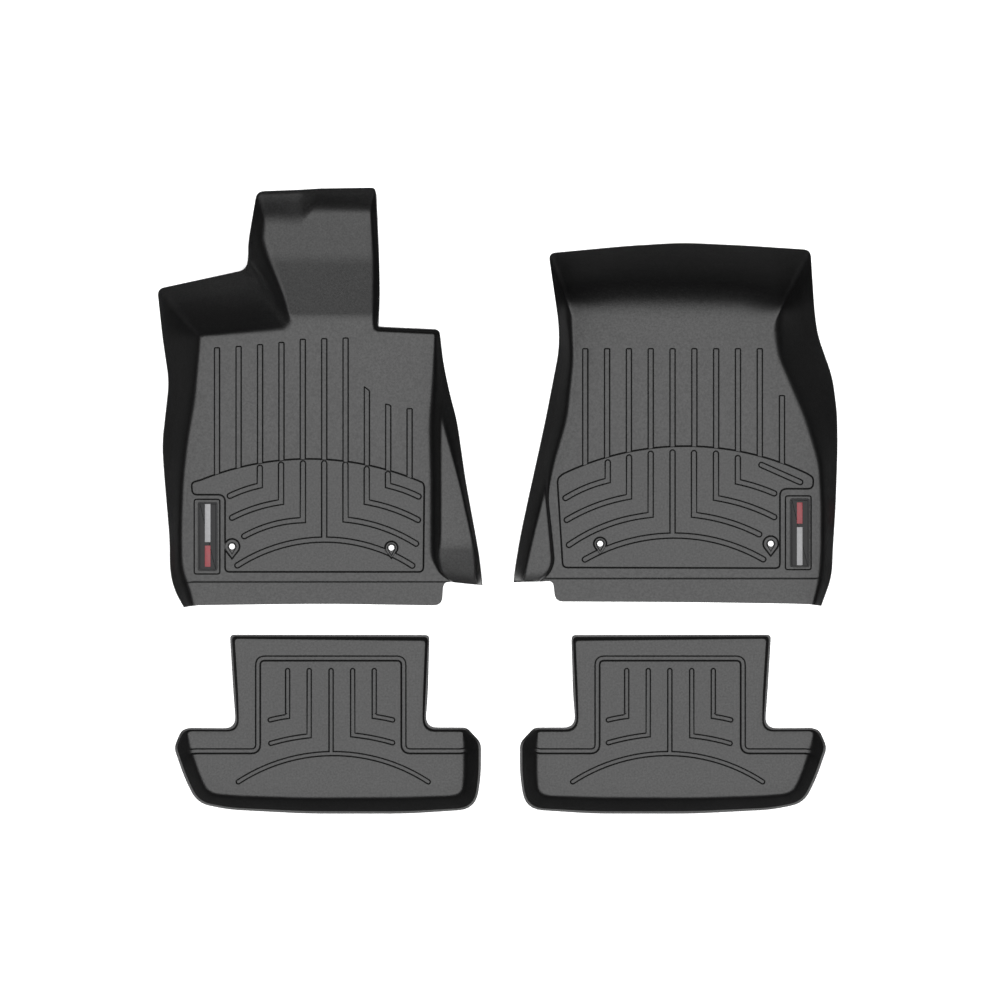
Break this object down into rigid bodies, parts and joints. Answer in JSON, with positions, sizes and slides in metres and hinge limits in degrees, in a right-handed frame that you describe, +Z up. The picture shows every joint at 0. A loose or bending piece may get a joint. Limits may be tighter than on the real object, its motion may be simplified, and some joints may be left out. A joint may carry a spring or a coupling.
{
  "type": "car floor liner set",
  "caption": "Moulded black car floor liners, two front and two rear, with raised walls, drain channels, a ribbed reservoir and retention holes.",
  "frame": {"origin": "middle of the set's bounding box, on the floor that the liners lie on", "axes": "+X to the car's right side, +Y to the front of the car, +Z up"},
  "size_m": [1.0876, 1.0019, 0.2027],
  "materials": {
    "liner": "fine grained, satin",
    "badge_plate": "satin",
    "adhesive": "foam tape"
  },
  "bodies": {
    "driver": {"front_left_liner": "liner", "front_left_badge": "badge_plate", "front_left_badge_pad": "adhesive"},
    "passenger": {"front_right_liner": "liner", "front_right_badge": "badge_plate", "front_right_badge_pad": "adhesive"},
    "rear_left": {"rear_left_liner": "liner"},
    "rear_right": {"rear_right_liner": "liner"}
  },
  "joints": [
    {"name": "passenger_lift", "type": "slide", "parent": "driver", "child": "passenger", "axis": [0, 0, 1], "range_m": [0, 0.3]},
    {"name": "rear_left_lift", "type": "slide", "parent": "driver", "child": "rear_left", "axis": [0, 0, 1], "range_m": [0, 0.3]},
    {"name": "rear_right_lift", "type": "slide", "parent": "driver", "child": "rear_right", "axis": [0, 0, 1], "range_m": [0, 0.3]}
  ]
}
